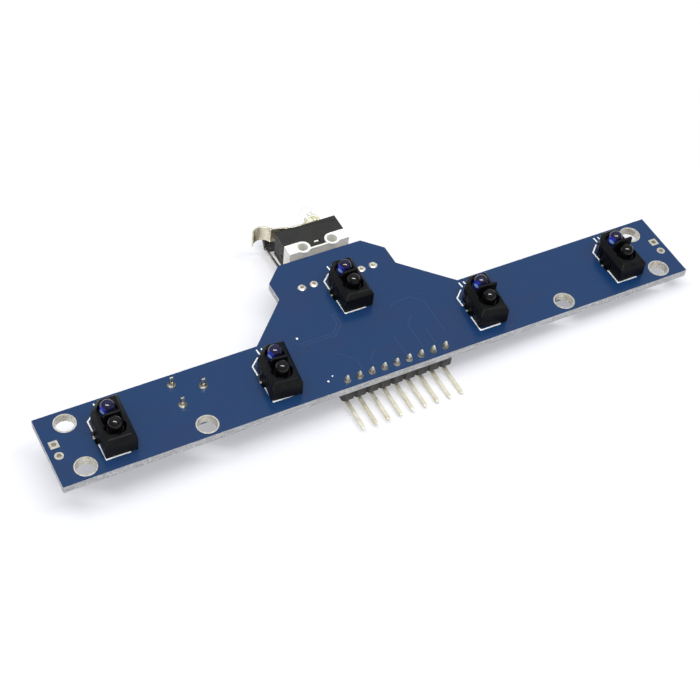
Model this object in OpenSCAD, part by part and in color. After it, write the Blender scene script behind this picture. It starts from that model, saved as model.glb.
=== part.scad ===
// Infrared line-tracking sensor board of a line follower robot, with a bump switch and an
// obstacle-sensing pair of infrared LEDs on its nose. Millimetres.
// Origin: centre of the four corner mounting holes, on the component face of the board.
// +X along the sensor bar, +Y towards the bump switch, +Z out of the sensor face.

/* [Circuit board] */
// Length of the sensor bar
board_length = 128; // [126:0.5:134]
// Depth of the sensor bar, front to back
bar_depth = 15.3; // [15:0.1:17]
// Board thickness
board_t = 1.6; // [1.2:0.1:2]
// Width of the nose where it meets the bar
shoulder_w = 42.2; // [41:0.1:44]
// Width of the nose between its sloped shoulders and its front corners
neck_w = 24.8; // [24:0.1:26]
// Width of the nose at its front edge
nose_w = 17.7; // [17:0.1:19]
// Distance from the bar's front edge to the nose's front edge
nose_reach = 16.65; // [16.5:0.05:17]
// Sideways offset of the nose's outline from the bar's middle
nose_shift = -0.43; // [-0.6:0.01:0.6]

/* [Mounting holes] */
// Distance between corner holes along the bar
hole_spacing_x = 118.12; // [116:0.01:120]
// Distance between corner holes across the bar
hole_spacing_y = 9.96; // [9.8:0.01:10.2]
// Distance between the two inner holes on the rear edge
inner_hole_spacing = 73.82; // [72:0.01:75]
// Diameter of every mounting hole
mount_hole_d = 3.5; // [3.2:0.05:3.6]
// Outer diameter of the plated ring around a mounting hole
mount_ring_d = 4.1; // [3.8:0.05:4.6]

/* [Line sensors] */
// Distance from the middle to an outer sensor
outer_sensor_x = 52.38; // [50:0.01:53]
// Distance from the middle to an inner sensor
inner_sensor_x = 21.29; // [21:0.01:22]
// How far the middle sensor sits in front of the others
middle_sensor_y = 13.71; // [13.2:0.01:14.2]
// Housing size along the bar
sensor_w = 5.8; // [5.6:0.05:6]
// Housing size across the bar
sensor_l = 10.2; // [10:0.05:10.4]
// Height of the housing's upright walls
sensor_wall_h = 3; // [2.8:0.05:3.3]
// Height of the housing's bevelled crown
sensor_crown_h = 3.9; // [3.6:0.05:4.2]
// Height of the fin between the two lenses
sensor_fin_h = 5.6; // [5.4:0.05:6]
// Diameter of a sensor lens
lens_d = 2.6; // [2.5:0.05:3]
// Distance between the two lenses of a sensor
lens_pitch = 3.8; // [3.7:0.05:4]

/* [Header] */
// Number of header pins
pin_count = 9; // [7:1:9]
// Distance between neighbouring pins
pitch = 2.54; // [2.5:0.01:2.54]
// Side of a square pin
pin_size = 0.64; // [0.5:0.01:0.66]
// How far the pin tips reach behind the corner holes' middle
pin_reach = 13.55; // [12:0.05:15]

/* [Bump switch] */
// Length of the switch case
switch_l = 12.8; // [12.7:0.05:13]
// Thickness of the switch case
switch_t = 5.8; // [5.6:0.05:6]
// Height of the switch case, from its terminals' side to its lever's side
switch_h = 6.45; // [6.4:0.05:6.6]
// Distance between the two mounting holes of the switch case
switch_hole_pitch = 6.24; // [6.2:0.01:6.5]
// Width of the lever strip
lever_w = 3.5; // [3:0.1:3.6]
// Thickness of the lever strip
lever_t = 0.3; // [0.25:0.01:0.3]

/* [Obstacle LEDs] */
// Diameter of an LED's body
led_d = 3; // [2.9:0.05:3]
// Length of an LED's body
led_l = 4.5; // [4.4:0.1:5.4]
// Upward tilt of the LEDs, in degrees
led_tilt = 9; // [5:1:10]

/* [Trimmer] */
// Size of the trimmer's square base
trimmer_size = 6.6; // [6.4:0.1:7]
// Diameter of the trimmer's dial
dial_d = 4.8; // [4.4:0.1:5]

/* [Hidden] */
$fn = 48;
SENSORS = [1:5];

// Faces of the board
rear_y = -hole_spacing_y / 2 - 2.57;
front_y = rear_y + bar_depth;
nose_y = front_y + nose_reach;
plating_t = 0.04;
gap = 0.01;

// Sensors, numbered from -X to +X, and how far each one is turned on the board
sensor_places = [
    [-outer_sensor_x, 0.07], [-inner_sensor_x + 0.1, -0.08], [0, middle_sensor_y],
    [inner_sensor_x + 0.35, 0.27], [outer_sensor_x, 0.07]
];
sensor_turns = [-2, -6, -2, -6, 0];
sensor_corner = [2.0, 2.5];
crown_inset = 0.75;
sensor_floor = 0.6;
lens_centre_h = 4.65;
well_d = 3.5;
detector_well_r = 2;
fin_x = -1.5;
fin_y = [-0.2, 0.3];
// Where each sensor's fin ends, and how much lower it is than the tallest
fin_ends = [1.7, 1.7, 1.7, 2.3, 2.3];
fin_drops = [0.35, 0.35, 0.35, 0, 0];
fin_corner_r = 0.8;
lens_foot_d = 3.15;
lens_foot_h = 0.7;
sensor_lead = [0.5, 0.4];
sensor_lead_x = 1.27;
sensor_lead_out = 1.0;
clip_l = 2.9;
clip_t = 0.6;
clip_y = -0.15;
clip_slot = [1.2, 3.1];

// Header
header_y = -5.92;
insulator_l = 2.6;
insulator_h = 2.5;
insulator_y = -5.95;
pin_top_z = board_t + 1.35;
pin_low_z = -3.55;
pin_bend_r = 0.7;

// Pads with a hole and no part in them, two at each end
end_pads = [for (side = [-1, 1], y = [-1.17, 1.37]) [side * 62.33, y]];
end_pad_hole_d = 0.9;

// Bump switch
switch_y = 25.25;
switch_z = -0.3;
switch_top_y = switch_y + switch_h;
switch_hole_y = switch_y + 1;
switch_hole_d = 2;
lobe_r = 1.5;
base_top_y = switch_hole_y + lobe_r;
dip_y = switch_y + 0.4;
case_wall = 0.65;
deck_y = base_top_y + 0.1;
terminal_places = [-5.08, 0, 5.08];
terminal_w = 1.2;
terminal_t = 0.4;
terminal_end_y = 20.9;
pivot = [5.4, switch_top_y - 1.15];
pivot_pin_d = 0.8;
knuckle_d = 1.6;
knuckle_bore_d = 0.9;
notch_x = 4.45;
notch_y = pivot[1] - 1.05;
notch_w = lever_w + 0.5;
plunger_x = 1.2;
plunger_d = 1.3;
plunger_hole_d = 1.4;
plunger_flange_d = 1.9;
blade_pivot = [-4.9, 29.5];
blade_t = 0.12;
contact_x = 2.95;
contact_d = 0.84;
contact_gap = 0.76;

// Corners of the lever strip, from its knuckle to the start of its rounded end
lever_path = [
    [pivot[0], pivot[1] + 0.6], [pivot[0], switch_top_y + 0.65],
    [-2.7, switch_top_y + 1.35], [-6.2, switch_top_y + 2.35]
];
lever_arch = [-8.1, switch_top_y + 1.65];
lever_arch_r = 2.02;
lever_arch_ends = [20, 89, 158];

// Obstacle LEDs: where each one's flat end lies and how far it is turned, and its leads' bends
led_pad_y = 17.51;
led_pads = [5.07, 7.61];
led_wire = 0.45;
led_wire_end = 0.2;
led_wire_drop = -1.5;
led_lead_pitch = 2.54;
led_flange_d = 3.8;
led_flange_t = 0.9;
emitter_seat = [[4.6, 36.35, -3.8], 0];
receiver_seat = [[-5.7, 34.2, -4.0], -15];
emitter_outer_bend = [7.3, 31.9, -3.55];
emitter_inner_bend = [4.7, 24.4, -3.75];
receiver_inner_bend = [-4.7, 24.4, -3.75];

// Trimmer
trimmer_centre = [-36.6, 3.19];
trimmer_pins_at = [[-2.5, -2.45], [-2.5, 2.45], [2.5, 0]];
trimmer_pin_low = 1.7;
trimmer_pin_top = 1.9;
trimmer_stand_h = 0.5;
trimmer_base_h = 1.9;
trimmer_bore_d = 1.6;
trimmer_shaft_d = 1.5;
track_t = 0.1;
track_r = [1.6, 2.9];
dial_z = -3.1;
dial_h = 1.1;
slot_w = 0.7;
slot_depth = 0.6;

// Surface-mounted parts
comparator_places = [[-11, 2.6], [11, 2.6]];
package_size = [8.65, 3.9, 1.4];
package_lift = 0.12;
lead_pitch = 1.27;
indicator_places = concat(
    [for (s = sensor_places) chip_spot(s, -2.4)], [[10.2, 19.6], [-10.6, 19.6]]
);
resistor_places = concat(
    [for (s = sensor_places, dy = [0, 2.4]) chip_spot(s, dy)],
    [[10.2, 16.6], [-10.6, 16.6], [-43, 3.2], [-30.2, 3.2], [0, 6.2], [3, 1.8]]
);
capacitor_places = [[-11, -2.6], [11, -2.6], [0, 3.8]];
resistor_size = [1.6, 0.8, 0.45];
capacitor_size = [2, 1.25, 0.9];
indicator_size = [2, 1.25, 0.8];

// Where a sensor's own chips sit: beside it, on the side towards the middle
function chip_spot(s, dy) = [s[0] + (s[0] > 0 ? -4.9 : 4.9), s[1] + dy];

// A point turned with an LED: along its axis by l and sideways by x
function led_point(seat, x, l) =
    let (out = l * cos(led_tilt), turn = seat[1])
    seat[0] + [x * cos(turn) - out * sin(turn), x * sin(turn) + out * cos(turn), l * sin(led_tilt)];

// Direction of the stretch of a path that starts at point k
function path_dir(path, k) = (path[k + 1] - path[k]) / norm(path[k + 1] - path[k]);

// Point k of a path's outline, a distance to its left, mitred where the path bends
function path_side(path, k, distance) =
    let (a = path_dir(path, max(k - 1, 0)), b = path_dir(path, min(k, len(path) - 2)), m = a + b)
    path[k] + [-m[1], m[0]] * 2 * distance / (m * m);

module at_sensor(i, z) {
    translate([sensor_places[i - 1][0], sensor_places[i - 1][1], z])
        rotate([0, 0, sensor_turns[i - 1]]) children();
}

module both_sides() {
    for (side = [-1, 1]) scale([side, 1, 1]) children();
}

module at_header() {
    for (k = [0:pin_count - 1]) translate([(k - (pin_count - 1) / 2) * pitch, header_y]) children();
}

module at_mount_holes() {
    for (x = [-1, 1], y = [-1, 1]) translate([x * hole_spacing_x / 2, y * hole_spacing_y / 2]) children();
    for (x = [-1, 1]) translate([x * inner_hole_spacing / 2, -hole_spacing_y / 2]) children();
}

module at_each(places) {
    for (p = places) translate(p) children();
}

module at_sensor_leads() {
    for (i = SENSORS, x = [-1, 1], y = [-1, 1])
        at_sensor(i, 0) translate([x * sensor_lead_x, y * lens_pitch / 2]) children();
}

module at_led_pads() {
    for (side = [-1, 1], x = led_pads) translate([side * x, led_pad_y]) children();
}

module at_trimmer_pins() {
    translate(trimmer_centre) at_each(trimmer_pins_at) children();
}

// A disc or ring lying on the plane it is placed on
module ring(outer_d, inner_d, h) {
    difference() {
        cylinder(d = outer_d, h = h);
        translate([0, 0, -1]) cylinder(d = inner_d, h = h + 2);
    }
}

// A square wire between two points, with a little overlap at each end for the next one
module wire(a, b, size) {
    d = b - a;
    l = norm(d);
    translate(a) rotate([0, acos(d[2] / l), atan2(d[1], d[0])])
        translate([-size / 2, -size / 2, -size / 2]) cube([size, size, l + size]);
}

// A square pin standing on the plane, with a tapered end
module square_pin(l) {
    s = pin_size / 2;
    profile = [[-s, 0], [s, 0], [s, l - 0.6], [s * 0.45, l], [-s * 0.45, l], [-s, l - 0.6]];
    intersection() {
        rotate([90, 0, 0]) translate([0, 0, -s]) linear_extrude(pin_size) polygon(profile);
        rotate([90, 0, 90]) translate([0, 0, -s]) linear_extrude(pin_size) polygon(profile);
    }
}

// A solder joint standing on a face, with the plug that fills the hole under it
module solder_joint(pad_d, hole_d, wire_d, h) {
    steps = 5;
    fillet = [for (k = [0:steps])
        let (t = k / steps)
        [wire_d / 2 + (pad_d - wire_d) / 2 * pow(1 - t, 2.2), plating_t + (h - plating_t) * t]];
    rotate_extrude() polygon(concat([[0, 0], [pad_d / 2, 0]], fillet, [[0, h]]));
    translate([0, 0, -board_t]) cylinder(d = hole_d - 2 * gap, h = board_t);
}

module board_outline() {
    half = board_length / 2;
    slope = (shoulder_w - neck_w) / 2;
    corner = (neck_w - nose_w) / 2;
    side = [
        [shoulder_w / 2, front_y], [neck_w / 2, front_y + slope],
        [neck_w / 2, nose_y - corner], [nose_w / 2, nose_y]
    ];
    polygon(concat(
        [[-half, rear_y], [half, rear_y], [half, front_y]],
        [for (p = side) [p[0] + nose_shift, p[1]]],
        [for (k = [3:-1:0]) [nose_shift - side[k][0], side[k][1]]],
        [[-half, front_y]]
    ));
}

module circuit_board() {
    color("#2f4c78") difference() {
        linear_extrude(board_t) board_outline();
        translate([0, 0, -1]) {
            at_mount_holes() cylinder(d = mount_hole_d, h = board_t + 2);
            at_each(end_pads) cylinder(d = end_pad_hole_d, h = board_t + 2);
            at_header() cylinder(d = 1, h = board_t + 2);
            at_sensor_leads() cylinder(d = 0.84, h = board_t + 2);
            at_led_pads() cylinder(d = 0.9, h = board_t + 2);
            at_trimmer_pins() cylinder(d = 1, h = board_t + 2);
            for (i = SENSORS, side = [-1, 1])
                at_sensor(i, 0) translate([side * (sensor_w / 2 - 0.7 + clip_slot[0] / 2), clip_y, 0])
                    linear_extrude(board_t + 2) square(clip_slot, center = true);
        }
    }
}

module mounting_hole_plating() {
    color("#c9ccd0") at_mount_holes() {
        translate([0, 0, board_t]) ring(mount_ring_d, mount_hole_d, plating_t);
        translate([0, 0, -plating_t]) ring(mount_ring_d, mount_hole_d, plating_t);
    }
}

// One pad of each end pair is square and the other round
module end_pad_plating() {
    color("#c9ccd0") for (k = [0:len(end_pads) - 1], z = [-plating_t, board_t])
        translate([end_pads[k][0], end_pads[k][1], z])
            if (k % 2 == 0) ring(1.6, end_pad_hole_d, plating_t);
            else linear_extrude(plating_t) difference() {
                square(1.6, center = true);
                circle(d = end_pad_hole_d);
            }
}

module sensor_outline(inset) {
    w = sensor_w / 2 - inset;
    l = sensor_l / 2 - inset;
    cut = [sensor_corner[0] - inset * 0.5, sensor_corner[1] - inset * 0.4];
    polygon([[-w, -l], [w, -l], [w, l], [-w + cut[0], l], [-w, l - cut[1]]]);
}

// A snap leg that passes through the board and hooks under it
module sensor_clip() {
    x = sensor_w / 2;
    foot = -board_t - 0.05;
    rotate([90, 0, 0]) translate([0, 0, -clip_l / 2]) linear_extrude(clip_l) polygon([
        [x - clip_t, 0], [x - clip_t, foot - 0.7], [x - 0.1, foot - 0.7],
        [x + 0.55, foot], [x, foot], [x, 0]
    ]);
}

// The thin wall between the two lenses, its corner next to the emitter rounded
module sensor_fin(i) {
    top = sensor_fin_h - fin_drops[i - 1];
    end = fin_ends[i - 1];
    c = [fin_x, top] + fin_corner_r * [1, -1];
    translate([0, fin_y[1], 0]) rotate([90, 0, 0]) linear_extrude(fin_y[1] - fin_y[0]) polygon(concat(
        [[end, top], [end, sensor_floor], [fin_x, sensor_floor]],
        [for (a = [180:-15:90]) c + fin_corner_r * [cos(a), sin(a)]]
    ));
}

module sensor_housing(i) {
    at_sensor(i, board_t) color("#2c2d2f") {
        difference() {
            union() {
                linear_extrude(sensor_wall_h) sensor_outline(0);
                hull() {
                    translate([0, 0, sensor_wall_h - 0.02]) linear_extrude(0.02) sensor_outline(0);
                    translate([0, 0, sensor_crown_h - 0.02]) linear_extrude(0.02) sensor_outline(crown_inset);
                }
            }
            translate([0, lens_pitch / 2, sensor_floor]) cylinder(d = well_d, h = sensor_crown_h);
            translate([0, -lens_pitch / 2, sensor_floor]) linear_extrude(sensor_crown_h)
                polygon([for (a = [0:45:315]) detector_well_r * [cos(a), sin(a)]]);
            translate([-1.7, -0.9, 2.6]) cube([3.4, 1.8, sensor_crown_h]);
            for (x = [-1, 1], y = [-1, 1])
                translate([x * sensor_lead_x, y * lens_pitch / 2, -1])
                    linear_extrude(sensor_floor + 2) square([0.7, 0.6], center = true);
            for (x = [-1, 1], y = [clip_y - clip_l / 2 - 0.2, clip_y + clip_l / 2])
                translate([x * sensor_w / 2 - 0.25, y, -1]) cube([0.5, 0.2, 3.6]);
        }
        sensor_fin(i);
        translate([0, clip_y, 0]) both_sides() sensor_clip();
    }
}

// A round lens with a foot, less its leads and the partition beside it
module sensor_lens() {
    difference() {
        union() {
            cylinder(d = lens_foot_d, h = lens_foot_h);
            cylinder(d = lens_d, h = lens_centre_h - sensor_floor);
            translate([0, 0, lens_centre_h - sensor_floor]) sphere(d = lens_d);
        }
        translate([0, 0, -lens_foot_h]) sensor_lead_pair(1.9);
    }
}

module sensor_lead_pair(h) {
    for (x = [-1, 1]) translate([x * sensor_lead_x, 0, 0])
        linear_extrude(h) square(sensor_lead, center = true);
}

module sensor_emitter(i) {
    at_sensor(i, board_t) color("#4a3c8c") translate([0, lens_pitch / 2, sensor_floor]) sensor_lens();
}

module sensor_detector(i) {
    at_sensor(i, board_t) color("#161618") translate([0, -lens_pitch / 2, sensor_floor]) sensor_lens();
}

module sensor_leads(i) {
    out = board_t + sensor_lead_out;
    at_sensor(i, board_t) color("#c9ccd0") for (y = [-1, 1])
        translate([0, y * lens_pitch / 2, -out]) sensor_lead_pair(out + sensor_floor + 1.2);
}

module sensor_solder() {
    color("#d5d7da") difference() {
        at_sensor_leads() mirror([0, 0, 1]) solder_joint(1.6, 0.84, 0.66, 0.8);
        at_sensor_leads() translate([0, 0, -3]) linear_extrude(6) square(sensor_lead, center = true);
    }
}

module header_insulator() {
    notch = 0.35;
    x = pitch / 2;
    y = insulator_l / 2;
    color("#1c1c1e") at_header() translate([0, insulator_y - header_y, -insulator_h]) difference() {
        linear_extrude(insulator_h) polygon([
            [-x, -y + notch], [-x + notch, -y], [x - notch, -y], [x, -y + notch],
            [x, y - notch], [x - notch, y], [-x + notch, y], [-x, y - notch]
        ]);
        translate([0, header_y - insulator_y, -1])
            linear_extrude(insulator_h + 2) square(pin_size, center = true);
    }
}

module header_pins() {
    bend = [0, -pin_bend_r, pin_low_z + pin_bend_r];
    color("#d8cfae") at_header() {
        translate([0, 0, bend[2]]) square_pin(pin_top_z - bend[2]);
        translate(bend) rotate([90, 0, 90]) rotate([0, 0, -90])
            rotate_extrude(angle = 90) translate([pin_bend_r - pin_size / 2, -pin_size / 2]) square(pin_size);
        translate([0, bend[1], pin_low_z]) rotate([90, 0, 0])
            square_pin(pin_reach + header_y - pin_bend_r);
    }
}

module header_solder() {
    color("#d5d7da") difference() {
        translate([0, 0, board_t]) at_header() solder_joint(1.7, 1, 0.8, 0.85);
        at_header() translate([0, 0, -1]) linear_extrude(board_t + 4) square(pin_size, center = true);
    }
}

// Everything within the middle slice of the switch case, inset from both of its faces
module switch_slab(inset) {
    translate([0, 0, switch_z - switch_t / 2 + inset]) linear_extrude(switch_t - 2 * inset) children();
}

// Outline of the base where it shows on the faces of the case, drawn for its +X half
module switch_base_half(grow) {
    half = switch_l / 2;
    x = switch_hole_pitch / 2;
    translate([0, switch_y]) square([half, dip_y - switch_y + grow]);
    translate([x, switch_hole_y]) circle(r = lobe_r + grow);
    translate([x, switch_y]) square([half - x, base_top_y - switch_y + grow]);
}

module terminal_slots() {
    for (x = terminal_places) translate([x - terminal_w / 2, switch_y - 1, switch_z - terminal_t / 2])
        cube([terminal_w, 6, terminal_t]);
}

module switch_base() {
    inner = switch_l / 2 - case_wall - 0.05;
    tab = [0.9, 0.36];
    color("#f1f1ee") difference() {
        union() {
            switch_slab(0) both_sides() switch_base_half(0);
            switch_slab(case_wall + 0.05) translate([-inner, dip_y]) square([2 * inner, deck_y - dip_y]);
            switch_slab(0.02) translate([-tab[0] / 2, dip_y + 1.1 - tab[1] / 2]) square(tab);
        }
        switch_slab(-1) for (x = [-1, 1]) translate([x * switch_hole_pitch / 2, switch_hole_y])
            circle(d = switch_hole_d);
        terminal_slots();
    }
}

module switch_cover() {
    half = switch_l / 2;
    cavity_l = half - case_wall;
    window = [1.5, 0.56];
    dimple = [-half, base_top_y + 0.7, switch_z - 0.5];
    color("#1d1d1f") difference() {
        switch_slab(0) translate([-half, dip_y]) square([switch_l, switch_top_y - dip_y]);
        switch_slab(-1) both_sides() switch_base_half(0.02);
        switch_slab(case_wall) {
            translate([-cavity_l, dip_y - 1]) square([2 * cavity_l, notch_y - case_wall + 0.3 - dip_y + 1]);
            translate([-cavity_l, dip_y]) square([cavity_l + notch_x - 0.4, switch_top_y - 0.7 - dip_y]);
        }
        switch_slab(-1) translate([-window[0] / 2, dip_y + 1.1 - window[1] / 2]) square(window);
        translate([notch_x, notch_y, switch_z - notch_w / 2])
            cube([half, switch_top_y - notch_y + 1, notch_w]);
        switch_slab(-1) translate(pivot) circle(d = pivot_pin_d);
        translate([plunger_x, switch_top_y + 1, switch_z]) rotate([90, 0, 0])
            cylinder(d = plunger_hole_d, h = 3);
        translate(dimple) rotate([0, 90, 0]) translate([0, 0, -1]) cylinder(d = 0.7, h = 1.3);
    }
}

module lever_pivot_pin() {
    color("#8d8f93") switch_slab(0.03) translate(pivot) circle(d = pivot_pin_d);
}

// The lever's rounded end: a piece of a tube
module lever_end() {
    d = 2 * lever_arch_r;
    translate(lever_arch) intersection() {
        ring(d + lever_t, d - lever_t, lever_w);
        linear_extrude(lever_w)
            polygon(concat([[0, 0]], [for (a = lever_arch_ends) 3 * lever_arch_r * [cos(a), sin(a)]]));
    }
}

module switch_lever() {
    last = len(lever_path) - 1;
    color("#cfc9ba") translate([0, 0, switch_z - lever_w / 2]) difference() {
        union() {
            translate(pivot) cylinder(d = knuckle_d, h = lever_w);
            linear_extrude(lever_w) polygon(concat(
                [for (k = [0:last]) path_side(lever_path, k, lever_t / 2)],
                [for (k = [last:-1:0]) path_side(lever_path, k, -lever_t / 2)]
            ));
            translate(lever_path[last]) cylinder(d = lever_t * 1.2, h = lever_w);
            lever_end();
        }
        translate([pivot[0], pivot[1], -1]) cylinder(d = knuckle_bore_d, h = lever_w + 2);
    }
}

// The button between the lever and the contact blade
module switch_plunger() {
    tip_y = switch_top_y + 0.8;
    flange_y = switch_top_y - 1.25;
    foot_y = blade_pivot[1] + blade_t / 2 + 0.09;
    shaft = tip_y - plunger_d * 0.25 - flange_y;
    color("#d8352c") translate([plunger_x, flange_y, switch_z]) rotate([-90, 0, 0]) {
        intersection() {
            cylinder(d = plunger_d, h = tip_y - flange_y);
            translate([0, 0, shaft - plunger_d * 0.5]) union() {
                sphere(d = plunger_d * 1.5);
                translate([0, 0, -5]) cylinder(d = plunger_d, h = 5);
            }
        }
        cylinder(d = plunger_flange_d, h = 0.3);
        translate([0, 0, foot_y - flange_y]) cylinder(d = 0.7, h = flange_y - foot_y);
    }
}

// Leaf spring with a contact button on both sides and the curved tongue that snaps it over
module switch_blade() {
    end_x = contact_x + 0.6;
    tongue_x = -1.8;
    tongue_r = 1.2;
    color("#c98b4f") translate([0, 0, switch_z]) {
        translate([blade_pivot[0], blade_pivot[1] - blade_t / 2, -1])
            cube([end_x - blade_pivot[0], blade_t, 2]);
        translate([contact_x, blade_pivot[1] - 0.31, 0]) rotate([-90, 0, 0]) cylinder(d = contact_d, h = 0.62);
        translate([tongue_x, blade_pivot[1], -0.35]) rotate([0, 0, 180])
            rotate_extrude(angle = 75) translate([tongue_r, 0]) square([0.1, 0.7]);
    }
}

// A flat terminal from the board to the deck of the base, drawn in the switch's mid plane
module terminal_strip(x) {
    translate([x - terminal_w / 2, terminal_end_y, switch_z - terminal_t / 2])
        cube([terminal_w, deck_y + 0.3 - terminal_end_y, terminal_t]);
}

module common_terminal() {
    x = terminal_places[0];
    color("#cdb26a") {
        terminal_strip(x);
        translate([x - 0.15, deck_y, switch_z - 1]) cube([0.3, blade_pivot[1] - blade_t / 2 - 0.04 - deck_y, 2]);
    }
}

module normally_open_terminal() {
    pad_y = blade_pivot[1] - 0.31 - contact_gap - 0.05;
    color("#cdb26a") {
        terminal_strip(terminal_places[1]);
        translate([-terminal_w / 2, deck_y, switch_z - 1])
            cube([contact_x + 0.4 + terminal_w / 2, 0.3, 2]);
        translate([contact_x, deck_y, switch_z]) rotate([-90, 0, 0])
            cylinder(d = contact_d, h = pad_y - deck_y);
    }
}

module normally_closed_terminal() {
    pad_y = blade_pivot[1] + 0.31 + 0.05;
    post_x = notch_x - 0.75;
    x = terminal_places[2];
    color("#cdb26a") {
        terminal_strip(x);
        translate([post_x, deck_y, switch_z - 1]) cube([x + terminal_w / 2 - post_x, 0.3, 2]);
        translate([post_x, deck_y, switch_z - 1]) cube([0.25, pad_y + 0.5 - deck_y, 2]);
        translate([contact_x - 0.45, pad_y + 0.2, switch_z - 1])
            cube([post_x + 0.25 - contact_x + 0.45, 0.3, 2]);
        translate([contact_x, pad_y, switch_z]) rotate([-90, 0, 0]) cylinder(d = contact_d, h = 0.3);
    }
}

// Solder between the switch's terminals and their pads on the component face
module switch_solder() {
    gap_z = switch_z + terminal_t / 2;
    l = 3.2;
    color("#d5d7da") for (x = terminal_places) translate([x, terminal_end_y - 0.3, 0]) {
        translate([-1.1, 0, gap_z]) cube([2.2, l, -gap_z]);
        both_sides() rotate([90, 0, 0]) translate([0, 0, -l]) linear_extrude(l)
            polygon([[terminal_w / 2, gap_z], [1.05, gap_z], [terminal_w / 2, gap_z - 0.3]]);
    }
}

module at_led(seat, x, l) {
    translate(led_point(seat, x, l)) rotate([0, 0, seat[1]]) rotate([led_tilt - 90, 0, 0]) children();
}

// The part of a lead frame inside an LED: two posts, one with a cup
module led_posts(seat) {
    for (side = [-1, 1]) wire(led_point(seat, side * led_lead_pitch / 2 * 0.8, 0.1),
        led_point(seat, side * led_lead_pitch / 2 * 0.45, 2), led_wire);
    at_led(seat, led_lead_pitch / 2 * 0.3, 2.1) cylinder(d = 0.9, h = 0.7);
}

module led_lens(seat, flange) {
    difference() {
        at_led(seat, 0, 0) {
            cylinder(d = led_d, h = led_l - led_d / 2);
            translate([0, 0, led_l - led_d / 2]) sphere(d = led_d);
            if (flange) cylinder(d = led_flange_d, h = led_flange_t);
        }
        led_posts(seat);
        for (side = [-1, 1]) wire(led_root(seat, side), led_point(seat, side * led_lead_pitch / 2 * 0.8, 0.1), led_wire);
    }
}

function led_root(seat, side) = led_point(seat, side * led_lead_pitch / 2 * 0.8, -0.5);

// A lead from its solder joint through the board, by its bends, into the LED
module led_lead(pad_x, bends, seat, side) {
    path = concat(
        [[pad_x, led_pad_y, board_t + led_wire_end], [pad_x, led_pad_y, led_wire_drop]], bends,
        [led_root(seat, side), led_point(seat, side * led_lead_pitch / 2 * 0.8, 0.1)]
    );
    for (k = [0:len(path) - 2]) wire(path[k], path[k + 1], led_wire);
}

module obstacle_emitter_lens() {
    color("#eef2f4", 0.6) led_lens(emitter_seat, true);
}

module obstacle_emitter_leads() {
    color("#c9ccd0") {
        led_posts(emitter_seat);
        led_lead(led_pads[0], [emitter_inner_bend], emitter_seat, -1);
        led_lead(led_pads[1], [emitter_outer_bend], emitter_seat, 1);
    }
}

module obstacle_receiver_lens() {
    color("#17171a") led_lens(receiver_seat, false);
}

module obstacle_receiver_leads() {
    color("#c9ccd0") {
        led_posts(receiver_seat);
        led_lead(-led_pads[0], [receiver_inner_bend], receiver_seat, 1);
        led_lead(-led_pads[1], [], receiver_seat, -1);
    }
}

module obstacle_led_solder() {
    color("#d5d7da") difference() {
        translate([0, 0, board_t]) at_led_pads() solder_joint(1.75, 0.9, 0.8, 0.35);
        at_led_pads() translate([0, 0, -1]) linear_extrude(board_t + 4) square(led_wire, center = true);
    }
}

module at_trimmer(z) {
    translate([trimmer_centre[0], trimmer_centre[1], z]) children();
}

module trimmer_base() {
    low = -trimmer_stand_h - trimmer_base_h;
    color("#8a6f4b") difference() {
        at_trimmer(low) union() {
            translate([-trimmer_size / 2, -trimmer_size / 2]) cube([trimmer_size, trimmer_size, trimmer_base_h]);
            for (y = [-1, 1]) translate([2.2, y * 2.4]) cylinder(d = 1, h = trimmer_base_h + trimmer_stand_h);
        }
        at_trimmer(low - 1) cylinder(d = trimmer_bore_d, h = trimmer_base_h + 2);
        trimmer_pin_bars();
    }
}

module trimmer_track() {
    low = -trimmer_stand_h - trimmer_base_h;
    color("#202022") at_trimmer(low - track_t) rotate([0, 0, 30])
        rotate_extrude(angle = 300) translate([track_r[0], 0]) square([track_r[1] - track_r[0], track_t]);
}

// The dial, with its cross slot facing away from the board and its shaft in the base
module trimmer_dial() {
    color("#e9e6df") at_trimmer(dial_z) difference() {
        union() {
            translate([0, 0, -dial_h]) cylinder(d = dial_d, h = dial_h);
            cylinder(d = trimmer_shaft_d, h = -trimmer_stand_h - dial_z);
        }
        translate([0, 0, -dial_h - 1]) for (turn = [0, 90]) rotate([0, 0, turn])
            translate([-dial_d / 2 + 0.6, -slot_w / 2]) cube([dial_d - 1.2, slot_w, slot_depth + 1]);
    }
}

// The spring contact under the dial that sweeps the track
module trimmer_wiper() {
    low = -trimmer_stand_h - trimmer_base_h - track_t - 0.04;
    r = (track_r[0] + track_r[1]) / 2;
    color("#d9b65f") at_trimmer(dial_z) {
        difference() {
            cylinder(d = 3.6, h = 0.15);
            translate([0, 0, -1]) cylinder(d = trimmer_shaft_d, h = 3);
        }
        translate([1.2, -0.4, 0]) cube([r - 1.2, 0.8, 0.15]);
        translate([r, 0, 0]) cylinder(d = 0.8, h = low - dial_z);
    }
}

module trimmer_pin_bars() {
    for (p = trimmer_pins_at) translate([trimmer_centre[0] + p[0] - 0.35, trimmer_centre[1] + p[1] - 0.15, 0])
        translate([0, 0, -trimmer_pin_low]) cube([0.7, 0.3, trimmer_pin_low + board_t + trimmer_pin_top]);
}

module trimmer_pins() {
    color("#c9ccd0") trimmer_pin_bars();
}

module trimmer_solder() {
    color("#d5d7da") difference() {
        translate([0, 0, board_t]) at_trimmer_pins() solder_joint(1.9, 1, 0.8, 0.65);
        trimmer_pin_bars();
    }
}

module comparator_packages() {
    color("#1b1b1d") for (p = comparator_places)
        translate([p[0] - package_size[0] / 2, p[1] - package_size[1] / 2, -package_lift - package_size[2]])
            difference() {
                cube(package_size);
                translate([0.9, 0.9, -0.9]) cylinder(d = 0.8, h = 1);
            }
}

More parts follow.
